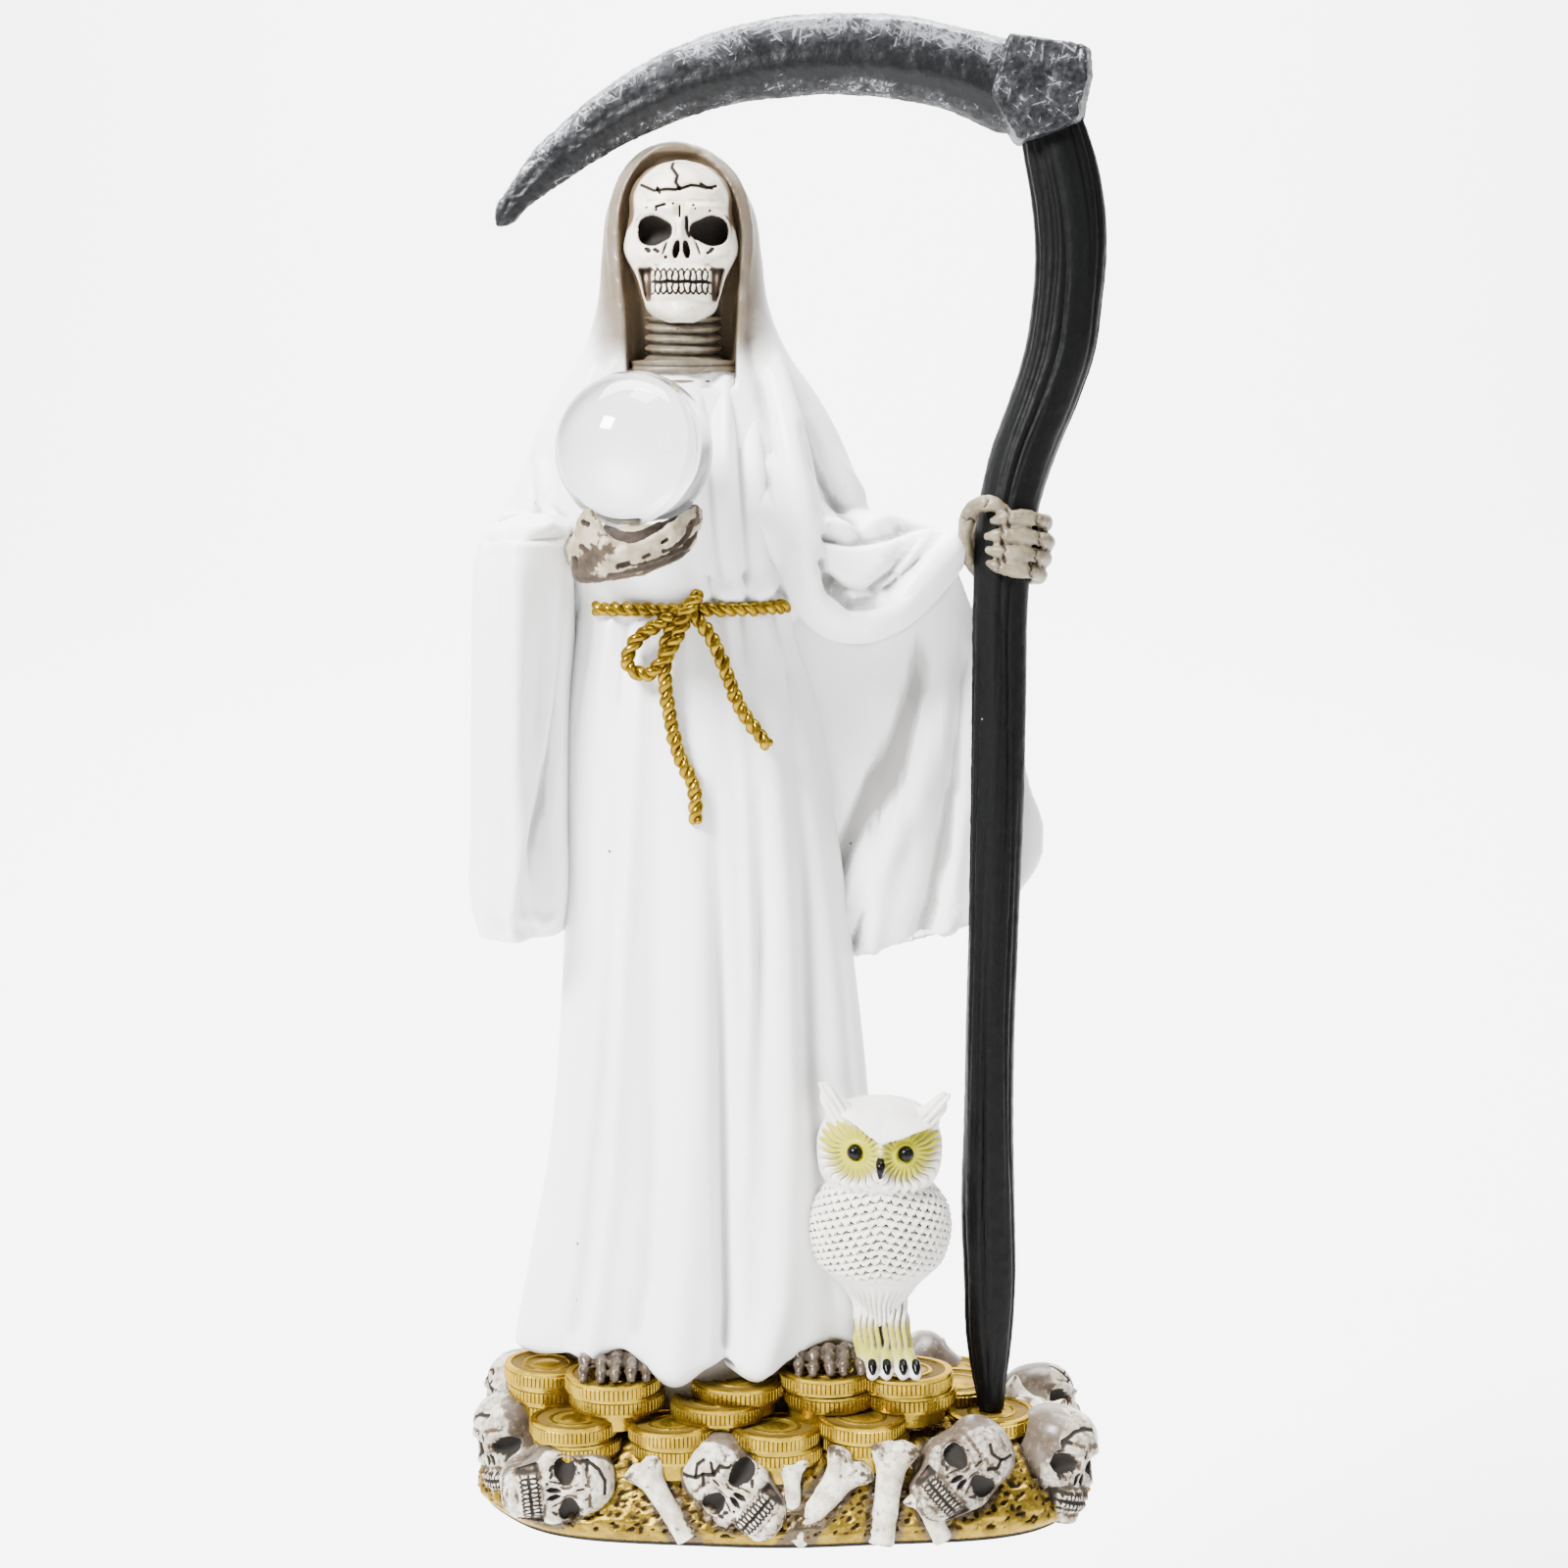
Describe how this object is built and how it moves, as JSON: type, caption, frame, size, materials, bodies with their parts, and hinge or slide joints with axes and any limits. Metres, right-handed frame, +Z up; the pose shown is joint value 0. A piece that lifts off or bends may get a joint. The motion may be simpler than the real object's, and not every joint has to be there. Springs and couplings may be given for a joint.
{
  "type": "santa muerte figure",
  "caption": "Cast hooded skeleton in a long white gown holding a glass ball and a scythe, with an owl, on a mound of coins, skulls and bones.",
  "frame": {"origin": "middle of the base's footprint on its flat underside", "axes": "+Z up along the figure, -Y towards the viewer and the face, +X towards the scythe"},
  "size_m": [0.13, 0.0923, 0.3035],
  "materials": {
    "white_resin": "satin white paint on cast resin, with an ivory and brown wash on the bones and gold paint on the coins and rope",
    "black_resin": "satin black paint on cast resin, dry-brushed silver on the blade, tan on the hand",
    "clear_glass": "polished clear"
  },
  "bodies": {
    "root": {"figure": "white_resin", "scythe": "black_resin", "crystal_ball": "clear_glass"}
  },
  "joints": []
}
